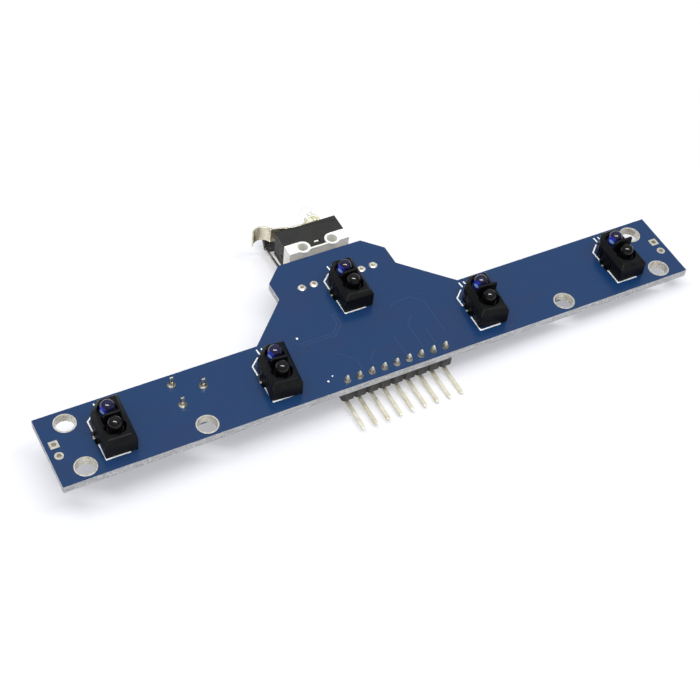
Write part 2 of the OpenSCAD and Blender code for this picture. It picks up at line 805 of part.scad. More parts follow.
// Gull-wing leads along both long sides of each package
module comparator_leads() {
    edge = package_size[1] / 2;
    mid = -package_lift - package_size[2] / 2;
    wing = [[edge, mid], [edge + 0.5, mid], [edge + 0.65, -0.02], [edge + 1.15, -0.02],
        [edge + 1.15, -0.2], [edge + 0.8, -0.2], [edge + 0.65, mid - 0.18], [edge, mid - 0.18]];
    color("#c9ccd0") for (p = comparator_places, k = [-3:3], turn = [0, 180])
        translate([p[0] + k * lead_pitch - 0.2, p[1]]) translate([0.2, 0]) rotate([0, 0, turn])
            translate([-0.2, 0]) rotate([90, 0, 90]) linear_extrude(0.4) polygon(wing);
}

// Chips stand on the component face, long side along X
module chip_bodies(places, size, end_l) {
    for (p = places) translate([p[0] - size[0] / 2 + end_l, p[1] - size[1] / 2, -size[2]])
        cube([size[0] - 2 * end_l, size[1], size[2]]);
}

module chip_ends(places, size, end_l) {
    for (p = places, side = [-1, 1])
        translate([p[0] + side * (size[0] / 2 - end_l / 2), p[1], -size[2] / 2 - 0.01])
            cube([end_l, size[1] + 0.04, size[2] + 0.02], center = true);
}

module resistor_bodies() {
    color("#222226") chip_bodies(resistor_places, resistor_size, 0.3);
}

module resistor_terminals() {
    color("#d5d7da") chip_ends(resistor_places, resistor_size, 0.3);
}

module capacitor_bodies() {
    color("#b08d5f") chip_bodies(capacitor_places, capacitor_size, 0.45);
}

module capacitor_terminals() {
    color("#d5d7da") chip_ends(capacitor_places, capacitor_size, 0.45);
}

module indicator_bodies() {
    color("#d94a3a") chip_bodies(indicator_places, indicator_size, 0.4);
}

module indicator_terminals() {
    color("#d5d7da") chip_ends(indicator_places, indicator_size, 0.4);
}

circuit_board();
mounting_hole_plating();
end_pad_plating();
for (i = SENSORS) {
    sensor_housing(i);
    sensor_emitter(i);
    sensor_detector(i);
    sensor_leads(i);
}
sensor_solder();
header_insulator();
header_pins();
header_solder();
switch_base();
switch_cover();
switch_lever();
lever_pivot_pin();
switch_plunger();
switch_blade();
common_terminal();
normally_open_terminal();
normally_closed_terminal();
switch_solder();
obstacle_emitter_lens();
obstacle_emitter_leads();
obstacle_receiver_lens();
obstacle_receiver_leads();
obstacle_led_solder();
trimmer_base();
trimmer_track();
trimmer_dial();
trimmer_wiper();
trimmer_pins();
trimmer_solder();
comparator_packages();
comparator_leads();
resistor_bodies();
resistor_terminals();
capacitor_bodies();
capacitor_terminals();
indicator_bodies();
indicator_terminals();
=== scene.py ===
import math

import bmesh
import bpy
from mathutils import Matrix, Vector, noise

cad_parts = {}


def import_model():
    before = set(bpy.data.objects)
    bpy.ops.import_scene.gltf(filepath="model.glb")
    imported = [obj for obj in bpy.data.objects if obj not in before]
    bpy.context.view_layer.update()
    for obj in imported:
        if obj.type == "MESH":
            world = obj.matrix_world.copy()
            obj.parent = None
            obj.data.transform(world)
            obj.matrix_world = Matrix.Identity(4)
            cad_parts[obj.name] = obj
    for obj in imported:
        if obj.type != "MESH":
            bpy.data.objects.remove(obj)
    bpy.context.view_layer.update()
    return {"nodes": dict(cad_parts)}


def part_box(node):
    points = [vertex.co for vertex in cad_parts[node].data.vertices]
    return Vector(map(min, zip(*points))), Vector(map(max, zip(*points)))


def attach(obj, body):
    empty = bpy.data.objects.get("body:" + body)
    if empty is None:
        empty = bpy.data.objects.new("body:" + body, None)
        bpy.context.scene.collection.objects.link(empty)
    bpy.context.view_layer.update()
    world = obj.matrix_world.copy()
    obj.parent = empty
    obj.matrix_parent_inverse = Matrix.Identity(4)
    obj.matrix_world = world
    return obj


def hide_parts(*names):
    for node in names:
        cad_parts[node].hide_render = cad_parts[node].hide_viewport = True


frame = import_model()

# Shapes are drawn in millimetres, and add_piece turns them into metres
MM = 0.001
SENSORS = range(1, 6)


# ---------------------------------------------------------------- places, taken from the frame


def box(node):
    """A CAD node's lowest and highest corners, in millimetres."""
    low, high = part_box(node)
    return low / MM, high / MM


def centre(node):
    """The middle of a CAD node's box, in millimetres."""
    low, high = box(node)
    return (low + high) / 2


def merged(node, whole_flats=True):
    """A CAD node's mesh in millimetres, closed along its edges, its flat faces whole or in triangles."""
    bm = bmesh.new()
    bm.from_mesh(frame["nodes"][node].data)
    bmesh.ops.scale(bm, vec=(1 / MM,) * 3, verts=bm.verts)
    bmesh.ops.remove_doubles(bm, verts=bm.verts, dist=0.0005)
    if whole_flats:
        bmesh.ops.dissolve_limit(bm, angle_limit=math.radians(0.5), verts=bm.verts, edges=bm.edges)
    return bm


def solids(node):
    """The box of each separate solid in a CAD node, in millimetres, ordered along X, then Y."""
    bm = merged(node)
    left, found = set(bm.verts), []
    while left:
        reached = [left.pop()]
        for v in reached:
            near = {e.other_vert(v) for e in v.link_edges} & left
            left -= near
            reached.extend(near)
        low = Vector(min(v.co[k] for v in reached) for k in range(3))
        high = Vector(max(v.co[k] for v in reached) for k in range(3))
        found.append((low, high))
    bm.free()
    return sorted(found, key=lambda b: (round(b[0].x + b[1].x, 2), round(b[0].y + b[1].y, 2)))


def spots(node):
    """The centres in plan of a CAD node's solids, once each."""
    places = [(round((a.x + b.x) / 2, 2), round((a.y + b.y) / 2, 2)) for a, b in solids(node)]
    return [Vector(p) for p in dict.fromkeys(places)]


BOARD_LOW, BOARD_TOP = box("circuit_board")[0].z, box("circuit_board")[1].z


# ---------------------------------------------------------------- materials


def linear(red, green, blue):
    """A screen colour, 0 to 255, as the shader wants it."""
    def channel(c):
        c /= 255
        return c / 12.92 if c <= 0.04045 else ((c + 0.055) / 1.055) ** 2.4
    return channel(red), channel(green), channel(blue), 1.0


class Nodes:
    """Short names for the shader nodes that the materials share."""

    def __init__(self, material):
        material.use_nodes = True
        self.tree = material.node_tree
        self.shader = self.tree.nodes["Principled BSDF"]
        self.place = self.add("ShaderNodeTexCoord").outputs["Object"]

    def add(self, kind, **settings):
        """A new node with those settings."""
        node = self.tree.nodes.new(kind)
        for name, value in settings.items():
            setattr(node, name, value)
        return node

    def feed(self, socket, value):
        """Links an output to a socket, or gives the socket a plain value."""
        if isinstance(value, bpy.types.NodeSocket):
            self.tree.links.new(value, socket)
        else:
            socket.default_value = value

    def noise(self, scale, detail=3.0, stretch=(1, 1, 1), offset=0.0):
        """Noise from 0 to 1, with scale in cells per millimetre."""
        mapping = self.add("ShaderNodeMapping")
        self.feed(mapping.inputs["Vector"], self.place)
        mapping.inputs["Scale"].default_value = [s / MM * scale for s in stretch]
        mapping.inputs["Location"].default_value = (offset,) * 3
        node = self.add("ShaderNodeTexNoise")
        node.inputs["Scale"].default_value = 1.0
        node.inputs["Detail"].default_value = detail
        self.feed(node.inputs["Vector"], mapping.outputs["Vector"])
        return node.outputs["Fac"]

    def ramp(self, value, low, high, to_low=0.0, to_high=1.0):
        """Turns the range from low to high smoothly into the range from to_low to to_high."""
        node = self.add("ShaderNodeMapRange", interpolation_type="SMOOTHSTEP")
        for socket, number in zip(node.inputs, (value, low, high, to_low, to_high)):
            self.feed(socket, number)
        return node.outputs["Result"]

    def math(self, operation, a, b=0.0):
        """The result of one sum."""
        node = self.add("ShaderNodeMath", operation=operation)
        self.feed(node.inputs[0], a)
        self.feed(node.inputs[1], b)
        return node.outputs["Value"]

    def mix(self, factor, a, b):
        """Colour a turning into b; inputs 6 and 7 and output 2 are the node's sockets for colours."""
        node = self.add("ShaderNodeMix", data_type="RGBA")
        self.feed(node.inputs["Factor"], factor)
        self.feed(node.inputs[6], a)
        self.feed(node.inputs[7], b)
        return node.outputs[2]

    def axis(self, name):
        """One coordinate of the place on the piece, in metres."""
        split = self.add("ShaderNodeSeparateXYZ")
        self.feed(split.inputs[0], self.place)
        return split.outputs[name]

    def facing(self, name):
        """One component of the surface's own direction."""
        split = self.add("ShaderNodeSeparateXYZ")
        self.feed(split.inputs[0], self.add("ShaderNodeNewGeometry").outputs["Normal"])
        return split.outputs[name]

    def bump(self, height, depth):
        """Relief of that depth in millimetres."""
        node = self.add("ShaderNodeBump")
        node.inputs["Strength"].default_value = 1.0
        node.inputs["Distance"].default_value = depth * MM
        self.feed(node.inputs["Height"], height)
        self.feed(self.shader.inputs["Normal"], node.outputs["Normal"])


def finish(name, colour, rough, metal=0.0, tint=None, patch=0.6, grain=6.0, relief=0.01, **sockets):
    """A material whose colour drifts towards tint in patches, with a fine grain in its surface."""
    material = bpy.data.materials.new(name)
    n = Nodes(material)
    base = linear(*colour)
    drift = linear(*(tint or [c * 0.85 for c in colour]))
    n.feed(n.shader.inputs["Base Color"], n.mix(n.ramp(n.noise(patch), 0.35, 0.7), base, drift))
    dull = n.ramp(n.noise(patch * 3, offset=7), 0.3, 0.7, rough * 0.8, rough * 1.2)
    n.feed(n.shader.inputs["Roughness"], dull)
    n.shader.inputs["Metallic"].default_value = metal
    for socket, value in sockets.items():
        n.shader.inputs[socket.replace("_", " ")].default_value = value
    n.bump(n.noise(grain, 4.0), relief)
    return material


def board_finish():
    """Blue solder mask on both faces, and pale layered glass fibre on every cut edge."""
    material = bpy.data.materials.new("board")
    n = Nodes(material)
    # 1 on the two faces, 0 on the edges
    flat = n.ramp(n.math("ABSOLUTE", n.facing("Z")), 0.4, 0.6)
    clouds = n.ramp(n.noise(0.11, 2.0, (1, 1.6, 1)), 0.45, 0.7)
    mask = n.mix(clouds, linear(16, 52, 94), linear(24, 50, 91))
    mask = n.mix(n.ramp(n.noise(2.4, 4.0), 0.4, 0.8, 0.0, 0.3), mask, linear(22, 61, 106))
    layers = n.noise(1.0, 2.0, (0.35, 0.35, 9.0))
    fibre = n.mix(n.ramp(layers, 0.35, 0.65), linear(200, 201, 203), linear(158, 158, 157))
    fibre = n.mix(n.ramp(n.noise(2.5, 4.0, (1, 1, 0.6), 3), 0.5, 0.75), fibre, linear(222, 222, 226))
    n.feed(n.shader.inputs["Base Color"], n.mix(flat, fibre, mask))
    n.feed(n.shader.inputs["Roughness"], n.ramp(flat, 0.0, 1.0, 0.85, 0.24))
    n.shader.inputs["Specular IOR Level"].default_value = 0.35
    relief = n.math("MULTIPLY", n.noise(3.0, 5.0), n.ramp(flat, 0.0, 1.0, 1.0, 0.02))
    n.bump(relief, 0.12)
    return material


def emitter_finish():
    """Violet epoxy with painted light: blue where its dome gathers light, pale where most."""
    material = bpy.data.materials.new("emitter_epoxy")
    n = Nodes(material)
    shader = n.shader.inputs
    painted_glow_and_floor_emission = n.add("ShaderNodeAttribute", attribute_name="painted_glow_and_floor_emission").outputs["Fac"]
    violet = n.mix(n.ramp(n.noise(0.9), 0.3, 0.7), linear(34, 29, 66), linear(23, 20, 46))
    # Painted light: blue towards the lit side of the dome, then a pale painted highlight where it is
    # strongest
    blue = n.mix(n.ramp(painted_glow_and_floor_emission, 0.35, 0.88), violet, linear(46, 60, 214))
    n.feed(shader["Base Color"], n.mix(n.ramp(painted_glow_and_floor_emission, 0.83, 0.95), blue, linear(164, 210, 255)))
    shader["Transmission Weight"].default_value = 0.1
    shader["IOR"].default_value = 1.5
    shader["Roughness"].default_value = 0.06
    shader["Specular IOR Level"].default_value = 0.3
    n.bump(n.noise(1.2, 2.0), 0.0008)
    return material


def clear_finish():
    """Water-clear epoxy, slightly yellow-green towards its flange."""
    material = bpy.data.materials.new("clear_epoxy")
    n = Nodes(material)
    shader = n.shader.inputs
    back = box("obstacle_emitter_lens")[0].y
    tinted_up_to, clear_from = back + 0.6, back + 1.8
    along = n.ramp(n.axis("Y"), tinted_up_to * MM, clear_from * MM)
    n.feed(shader["Base Color"], n.mix(along, linear(244, 247, 206), linear(252, 252, 253)))
    shader["Transmission Weight"].default_value = 0.8
    shader["IOR"].default_value = 1.25
    shader["Roughness"].default_value = 0.15
    n.bump(n.noise(1.2, 2.0), 0.004)
    return material


# Each plain finish: its colour, roughness and metalness, the colour it drifts to, its patches and its
# grains per millimetre, and the depth of the grain in millimetres
PLAIN_FINISHES = {
    "plating": ((220, 216, 204), 0.3, 0.65, (192, 187, 172), 1.2, 9, 0.005),
    "solder": ((172, 170, 158), 0.34, 0.8, (98, 93, 80), 1.3, 5, 0.03),
    "housing": ((11, 12, 13), 0.42, 0, (8, 9, 10), 0.5, 14, 0.006),
    "detector_epoxy": ((12, 11, 12), 0.07, 0, (20, 15, 17), 0.7, 1.2, 0.0008),
    "lead": ((200, 196, 186), 0.25, 0.95, (160, 150, 134), 1.5, 10, 0.006),
    "header_plastic": ((20, 20, 22), 0.45, 0, (28, 28, 30), 0.6, 12, 0.008),
    "pin": ((224, 220, 202), 0.34, 0.45, (206, 198, 172), 0.5, 6, 0.001),
    "switch_white": ((246, 245, 240), 0.45, 0, (236, 234, 226), 0.5, 10, 0.004),
    "switch_black": ((40, 41, 38), 0.5, 0, (34, 35, 33), 0.5, 14, 0.006),
    "lever_steel": ((228, 222, 202), 0.3, 0.92, (208, 199, 174), 0.5, 5, 0.001),
    "plunger_plastic": ((204, 54, 44), 0.4, 0, (186, 44, 38), 0.8, 12, 0.005),
    "contact_metal": ((206, 172, 104), 0.3, 0.95, (184, 140, 84), 1.0, 10, 0.005),
    "trimmer_brown": ((132, 104, 68), 0.5, 0, (112, 84, 52), 0.9, 6, 0.02),
    "carbon": ((26, 26, 28), 0.7, 0, (38, 38, 40), 2.0, 16, 0.01),
    "dial_plastic": ((228, 225, 216), 0.4, 0, (212, 206, 194), 0.7, 10, 0.006),
    "chip_black": ((24, 24, 26), 0.55, 0, (34, 34, 36), 0.8, 18, 0.01),
    "ceramic": ((176, 140, 94), 0.5, 0, (158, 122, 80), 1.5, 14, 0.008),
    "indicator_red": ((212, 70, 56), 0.25, 0, (190, 50, 44), 0.9, 8, 0.004),
}
# What some of them have besides
EXTRAS = {
    "housing": {"Specular_IOR_Level": 0.14},
    "detector_epoxy": {"Specular_IOR_Level": 0.25},
    "switch_black": {"Specular_IOR_Level": 0.3},
    "indicator_red": {"Coat_Weight": 0.4},
}
FINISHES = {name: finish(name, *row, **EXTRAS.get(name, {})) for name, row in PLAIN_FINISHES.items()}
FINISHES["board"] = board_finish()
FINISHES["emitter_epoxy"] = emitter_finish()
FINISHES["clear_epoxy"] = clear_finish()
SILK = finish("silkscreen", (250, 251, 251), 0.6, 0, (236, 238, 239), 1.5, 8, 0.01)
TRACK = finish("track_mask", (22, 54, 99), 0.27, 0, (18, 54, 97), 0.3, 6, 0.004)
# Dark colour for the painted shade in each via hole
VIA = finish("via_shadow", (18, 26, 50), 0.5, 0, (26, 34, 60), 1.5, 9, 0.01)
DARK_STEEL = finish("dark_steel", (46, 44, 42), 0.45, 0.6, (32, 31, 30), 1.2, 8, 0.006)
PALE_SOLDER = finish("pale_solder", (232, 228, 218), 0.32, 0.3, (186, 178, 162), 1.6, 5, 0.01)
LEAD_END = finish("lead_end", (122, 102, 70), 0.45, 0.4, (78, 60, 40), 1.6, 7, 0.01)


# ---------------------------------------------------------------- shapes

# Edges that turn by more degrees than these stay sharp in the shading, or are rounded
SHARP_FROM = 35
ROUNDED_FROM = 38


def add_piece(name, bm, slot, body="board", replaced=(), material=None, smooth=SHARP_FROM):
    """Makes a piece of a mesh drawn in millimetres, on a CAD body; with smooth 0 its faces stay flat."""
    bmesh.ops.recalc_face_normals(bm, faces=bm.faces)
    bmesh.ops.scale(bm, vec=(MM,) * 3, verts=bm.verts)
    mesh = bpy.data.meshes.new(name)
    bm.to_mesh(mesh)
    bm.free()
    if smooth:
        mesh.shade_smooth()
        mesh.set_sharp_from_angle(angle=math.radians(smooth))
    else:
        mesh.shade_flat()
    mesh.materials.append(material or FINISHES[slot])
    obj = bpy.data.objects.new(name, mesh)
    bpy.context.scene.collection.objects.link(obj)
    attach(obj, body)
    if replaced:
        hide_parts(*replaced)
    return obj


def refined(node, slot, body="board", edge=0.05, segments=2, material=None, whole_flats=True):
    """Stands for a CAD node with the same shape, its sharp edges rounded to that radius.

    Without whole_flats it keeps the CAD's triangles and shades them flat.
    """
    smooth = SHARP_FROM if whole_flats else 0
    obj = add_piece(node + "_shape", merged(node, whole_flats), slot, body, [node], material, smooth)
    bevel = obj.modifiers.new("edges", "BEVEL")
    bevel.width = edge * MM
    bevel.segments = segments
    bevel.limit_method = "ANGLE"
    bevel.angle_limit = math.radians(ROUNDED_FROM)
    bevel.use_clamp_overlap = False
    bevel.harden_normals = whole_flats
    return obj


def keep(node, slot):
    """Shows a CAD node as it is, in a finish of its own."""
    for place in frame["nodes"][node].material_slots:
        place.material = FINISHES[slot]


def lathe(bm, profile, place, steps=48, closed=False, wobble=None):
    """Turns a profile of radius and height about place's Z axis; wobble gives each point a factor."""
    rings = []
    for radius, z in profile:
        ring = []
        for k in range(steps if radius else 1):
            turn = 2 * math.pi * k / steps
            reach = radius * (wobble(turn, z) if wobble else 1)
            point = Vector((reach * math.cos(turn), reach * math.sin(turn), z))
            ring.append(bm.verts.new(place @ point))
        rings.append(ring)
    for a, b in zip(rings, rings[1:] + (rings[:1] if closed else [])):
        for k in range(max(len(a), len(b))):
            corners = [a[k % len(a)], a[(k + 1) % len(a)], b[(k + 1) % len(b)], b[k % len(b)]]
            corners = list(dict.fromkeys(corners))
            if len(corners) > 2:
                bm.faces.new(corners)


def dome(radius, top, steps=14):
    """Half the outline of a round end, from its widest ring up to its tip."""
    turns = [math.pi / 2 * k / steps for k in range(steps)]
    return [(radius * math.cos(a), top - radius * (1 - math.sin(a))) for a in turns] + [(0, top)]


def at(x, y, z):
    """A move to that place, in millimetres."""
    return Matrix.Translation((x, y, z))


def puck(bm, x, y, low, high, radius, steps=24):
    """A flat round disc, or a short rod."""
    lathe(bm, [(0, low), (radius, low), (radius, high), (0, high)], at(x, y, 0), steps)


def ribbon(bm, points, width, low, high):
    """A flat strip along a path, mitred at its corners."""
    points = [Vector(p) for p in points]
    sections = []
    ways = [(b - a).normalized() for a, b in zip(points, points[1:])]
    for p, before, after in zip(points, ways[:1] + ways, ways + ways[-1:]):
        m = before + after
        # Dividing by the squared length keeps the strip as wide in a corner as elsewhere
        side = Vector((-m.y, m.x)) * width / m.length_squared
        corners = [(p + side, low), (p + side, high), (p - side, high), (p - side, low)]
        sections.append([bm.verts.new((q.x, q.y, z)) for q, z in corners])
    for a, b in zip(sections, sections[1:]):
        for k in range(4):
            bm.faces.new((a[k], a[(k + 1) % 4], b[(k + 1) % 4], b[k]))
    bm.faces.new(sections[0])
    bm.faces.new(sections[-1][::-1])


# ---------------------------------------------------------------- circuit board

HOLE_RADIUS = 1.75
PAD_RADIUS, PAD_HOLE_RADIUS = 0.8, 0.45
# Thickness of the plating in a hole, and height of plating, print and tracks above the board
RING_WALL = 0.03
RING_LIFT = 0.045
SILK_LIFT = 0.02
TRACK_LIFT = 0.025
# How far faces that would lie in one plane are kept apart
SKIN = 0.002
SILK_WIDTH = 0.27
TRACK_WIDTH = 0.3


def plated_rings():
    """Each mounting hole's rings on both faces, joined by the plated wall between them."""
    bm = bmesh.new()
    low, high = solids("mounting_hole_plating")[0]
    outer = (high.x - low.x) / 2
    shoulder, rim = outer - 0.03, HOLE_RADIUS + 0.05
    wall, seat = HOLE_RADIUS - RING_WALL, HOLE_RADIUS + 0.01
    profile = [
        (outer, BOARD_LOW), (outer, BOARD_LOW - RING_LIFT * 0.8),
        (shoulder, BOARD_LOW - RING_LIFT), (rim, BOARD_LOW - RING_LIFT),
        (wall, BOARD_LOW + 0.05), (wall, BOARD_TOP - 0.05),
        (rim, BOARD_TOP + RING_LIFT), (shoulder, BOARD_TOP + RING_LIFT),
        (outer, BOARD_TOP + RING_LIFT * 0.8), (outer, BOARD_TOP),
        (seat, BOARD_TOP - SKIN), (seat, BOARD_LOW + SKIN)
    ]
    for p in spots("mounting_hole_plating"):
        lathe(bm, profile, at(p.x, p.y, 0), 72, closed=True)
    add_piece("plated_rings", bm, "plating", replaced=["mounting_hole_plating"])


def end_pads():
    """The empty pads at the board's ends: a round and a square one at each, with plated holes."""
    bm = bmesh.new()
    half, hole, wall = PAD_RADIUS, PAD_HOLE_RADIUS, PAD_HOLE_RADIUS - RING_WALL
    barrel = [(hole, BOARD_TOP + RING_LIFT - SKIN), (wall, BOARD_TOP - 0.05),
              (wall, BOARD_LOW + 0.05), (hole, BOARD_LOW - RING_LIFT + SKIN)]
    for k, p in enumerate(spots("end_pad_plating")):
        place = at(p.x, p.y, 0)

        def outline(turn, z, square=k % 2 == 1):
            """Pushes every second pad's round rim out to a square."""
            on_rim = abs(z - BOARD_LOW) < 0.1 or abs(z - BOARD_TOP) < 0.1
            return 1 / max(abs(math.cos(turn)), abs(math.sin(turn))) if square and on_rim else 1

        for face, sign in ((BOARD_TOP, 1), (BOARD_LOW, -1)):
            rim, flat = face + sign * RING_LIFT, face + sign * (RING_LIFT - SKIN)
            lathe(bm, [(half, face), (half, rim), (half - 0.3, rim)], place, wobble=outline)
            lathe(bm, [(half, flat), (hole, flat)], place)
        lathe(bm, barrel, place)
    add_piece("plated_end_pads", bm, "plating", replaced=["end_pad_plating"])


def sensor_place(i):
    """Where a sensor stands, halfway between its lenses."""
    return (centre(f"sensor_{i}_emitter") + centre(f"sensor_{i}_detector")) / 2


# How far off its sensor the print is, where it isn't centred on it
PRINT_OFFSETS = {2: (-0.1, 0.15), 4: (-0.35, -0.2)}
# The lines printed round each sensor, measured from the sensor's middle
SENSOR_PRINT = [
    [(-3.02, -1.6), (-3.02, -5.16), (1.3, -5.2)],
    [(-3.02, 1.4), (-3.02, 3.62), (-1.25, 5.2)],
    [(-0.72, 6.95), (-0.6, 5.7)],
    [(0.24, 6.9), (0.34, 6.2)],
]
# Place and radius of each plain dot
PRINTED_DOTS = ((-14.05, 6.5, 0.22), (-12.14, -3.96, 0.16), (-13.37, -4.77, 0.2))
# The painted glint beside each sensor's clip, a small disc of plating, measured from the sensor's middle
CLIP_SPOT_X, CLIP_SPOT_Y = -3.3, -0.1
CLIP_SPOT_RADIUS = 0.24


def silkscreen():
    """White print on the sensor face: the outline round each sensor, and plain marks."""
    bm = bmesh.new()
    low, high = BOARD_TOP, BOARD_TOP + SILK_LIFT
    for i in SENSORS:
        c, (dx, dy) = sensor_place(i), PRINT_OFFSETS.get(i, (0, 0))
        for line in SENSOR_PRINT:
            ribbon(bm, [(c.x + dx + x, c.y + dy + y) for x, y in line], SILK_WIDTH, low, high)
    for x, y, radius in PRINTED_DOTS:
        puck(bm, x, y, low, high, radius, 12)
    add_piece("silkscreen", bm, "board", material=SILK)


def clip_spots():
    """A painted glint beside each sensor's clip, drawn as a small bright disc of plating."""
    bm = bmesh.new()
    for i in SENSORS:
        c = sensor_place(i)
        x, y = c.x + CLIP_SPOT_X, c.y + CLIP_SPOT_Y
        puck(bm, x, y, BOARD_TOP, BOARD_TOP + SILK_LIFT, CLIP_SPOT_RADIUS, 12)
    add_piece("clip_slot_painted_glints", bm, "plating")


# The corners of each copper run on the sensor face
TRACK_RUNS = [
    [(-6.35, -4.6), (-6.35, -2.2), (-9.0, 0.36)],
    [(-3.81, -4.6), (-3.81, -3.0), (-2.4, -1.75)],
    [(2.54, -4.6), (2.54, -0.45)],
    [(6.35, -4.6), (6.35, 1.5), (7.8, 2.95)],
    [(8.89, -4.6), (8.89, -0.9)],
    [(-5.0, 9.6), (-5.0, 6.6), (-7.2, 4.4), (-14.0, 4.4)],
    [(-5.6, 9.6), (-5.6, 6.9), (-7.5, 5.0), (-14.6, 5.0)],
    [(5.2, 6.6), (6.8, 7.4), (10.0, 7.4), (12.0, 5.4), (12.0, -2.5)],
]
VIA_PLACES = ((-9.0, 0.36), (-2.3, -1.75), (2.55, -0.45), (7.84, 2.95), (9.05, -0.9), (12.0, 7.6))
VIA_RADIUS, VIA_HOLE_RADIUS = 0.32, 0.16
VIA_LIFT = 0.03


def tracks():
    """The copper runs on the sensor face, which show faintly under the mask."""
    bm = bmesh.new()
    for run in TRACK_RUNS:
        ribbon(bm, run, TRACK_WIDTH, BOARD_TOP, BOARD_TOP + TRACK_LIFT)
    add_piece("sensor_side_tracks", bm, "board", material=TRACK)


def vias():
    """The small holes by the runs, with the mask over their rims; each hole is a dark disc of painted
    shade.
    """
    rims, holes = bmesh.new(), bmesh.new()
    for x, y in VIA_PLACES:
        puck(rims, x, y, BOARD_TOP, BOARD_TOP + VIA_LIFT, VIA_RADIUS)
        puck(holes, x, y, BOARD_TOP, BOARD_TOP + VIA_LIFT * 1.2, VIA_HOLE_RADIUS)
    add_piece("via_rims", rims, "board", material=TRACK)
    add_piece("via_hole_shades", holes, "board", material=VIA)


HIDDEN_RUN_WIDTH = 0.25
HIDDEN_VIA_RADIUS, HIDDEN_VIA_LIFT = 0.34, 0.035
OUTLINE_WIDTH = 0.15
# The parts on the component side, and how far their printed outlines stand off from them
OUTLINED = {
    "comparator_packages": 0.35,
    "trimmer_base": 0.3,
    "header_insulator": 0.2,
    "resistor_bodies": 0.5,
    "capacitor_bodies": 0.5,
    "indicator_bodies": 0.6,
}


def outline_of(bm, low, high, grow):
    """A printed rectangle round a part on the component side."""
    ax, ay, bx, by = low.x - grow, low.y - grow, high.x + grow, high.y + grow
    middle = (ax + bx) / 2
    path = [(middle, ay), (bx, ay), (bx, by), (ax, by), (ax, ay), (middle, ay)]
    ribbon(bm, path, OUTLINE_WIDTH, BOARD_LOW - SILK_LIFT, BOARD_LOW)


def component_side():
    """The face away from the sensors: runs under the mask, vias, and outlines round the parts."""
    runs, rims, prints = bmesh.new(), bmesh.new(), bmesh.new()

    def run_with_vias(run, ends):
        """A copper run, with a via at those of its ends."""
        ribbon(runs, run, HIDDEN_RUN_WIDTH, BOARD_LOW - TRACK_LIFT, BOARD_LOW)
        for x, y in ends:
            puck(rims, x, y, BOARD_LOW - HIDDEN_VIA_LIFT, BOARD_LOW, HIDDEN_VIA_RADIUS, 20)

    for side in (-1, 1):
        # Five long runs side by side along this half of the bar
        for k in range(5):
            x, y = 6 + 2.2 * k, -1.1 - 0.55 * k
            run = [(side * (48.5 - k), y + 1.2), (side * (46 - k), y)]
            run += [(side * (x + 8), y), (side * (x + 5), y - 1.2)]
            run_with_vias(run, (run[0], run[-1]))
        # Three shorter ones from the bar up to the nose
        for k in range(3):
            x = 16.5 + 0.6 * k
            run = [(side * x, 2 + k), (side * x, 7.0 - 0.5 * k)]
            run += [(side * (x - 9), 12 - 0.3 * k), (side * (9 - k), 16)]
            run_with_vias(run, run[:1])
    for node, grow in OUTLINED.items():
        # The header has one outline round all of it
        parts = [box(node)] if node == "header_insulator" else solids(node)
        for low, high in parts:
            outline_of(prints, low, high, grow)
    add_piece("component_side_tracks", runs, "board", material=TRACK)
    add_piece("component_side_vias", rims, "plating")
    add_piece("component_side_print", prints, "board", material=SILK)


# ---------------------------------------------------------------- sensors

LENS_RADIUS = 1.3
SHOULDER_RADIUS = 1.52
FOOT_RADIUS = 1.57
# Height of the foot, depth of the shoulder below the lens's tip, and the shoulder's chamfer
FOOT_HEIGHT = 0.7
SHOULDER_DROP = 2.6
CHAMFER = 0.08
# Heights above the shoulder of the rings up to the dome
BARREL_RINGS = (0.04, 0.4, 0.7, 1.0)
# The side of an emitter's dome where light is painted into its colour, seen from the middle of its dome
PAINTED_LIGHT_SIDE = Vector((-0.82, -0.28, -0.4)).normalized()
# Below that height from the middle of its dome, the painted light fades by that much per millimetre
PAINTED_LIGHT_FADES_BELOW, PAINTED_LIGHT_FADE = -0.6, 0.8


def lens_profile(node):
    """A round lens with a foot, a shoulder and a domed end, as half its outline."""
    low, high = box(node)
    foot, shoulder = low.z + FOOT_HEIGHT, high.z - SHOULDER_DROP
    base = [(0, low.z), (FOOT_RADIUS, low.z), (FOOT_RADIUS, foot), (SHOULDER_RADIUS, foot + 0.05),
            (SHOULDER_RADIUS, shoulder - CHAMFER), (SHOULDER_RADIUS - CHAMFER, shoulder)]
    barrel = [(LENS_RADIUS, shoulder + up) for up in BARREL_RINGS]
    return base + [(LENS_RADIUS + 0.04, shoulder)] + barrel + dome(LENS_RADIUS, high.z)


def mark_painted_light(obj, middle):
    """Notes at each point of a lens how far it faces the side where light is painted, less at its foot."""
    layer = obj.data.attributes.new("painted_glow_and_floor_emission", "FLOAT", "POINT")
    for v, item in zip(obj.data.vertices, layer.data):
        reach = v.co / MM - middle
        fade = PAINTED_LIGHT_FADE * max(0, PAINTED_LIGHT_FADES_BELOW - reach.z)
        item.value = reach.normalized().dot(PAINTED_LIGHT_SIDE) - fade


def sensors():
    """The five reflective sensors, each a housing with its leads and two lenses."""
    for i in SENSORS:
        refined(f"sensor_{i}_housing", "housing", edge=0.1, segments=3)
        refined(f"sensor_{i}_leads", "lead", edge=0.04)
        for kind in ("emitter", "detector"):
            node = f"sensor_{i}_{kind}"
            c = centre(node)
            bm = bmesh.new()
            lathe(bm, lens_profile(node), at(c.x, c.y, 0), 64)
            lens = add_piece(node + "_lens", bm, kind + "_epoxy", replaced=[node])
            # An emitter's lens gets painted light on one side
            if kind == "emitter":
                mark_painted_light(lens, Vector((c.x, c.y, box(node)[1].z - LENS_RADIUS)))


# ---------------------------------------------------------------- solder

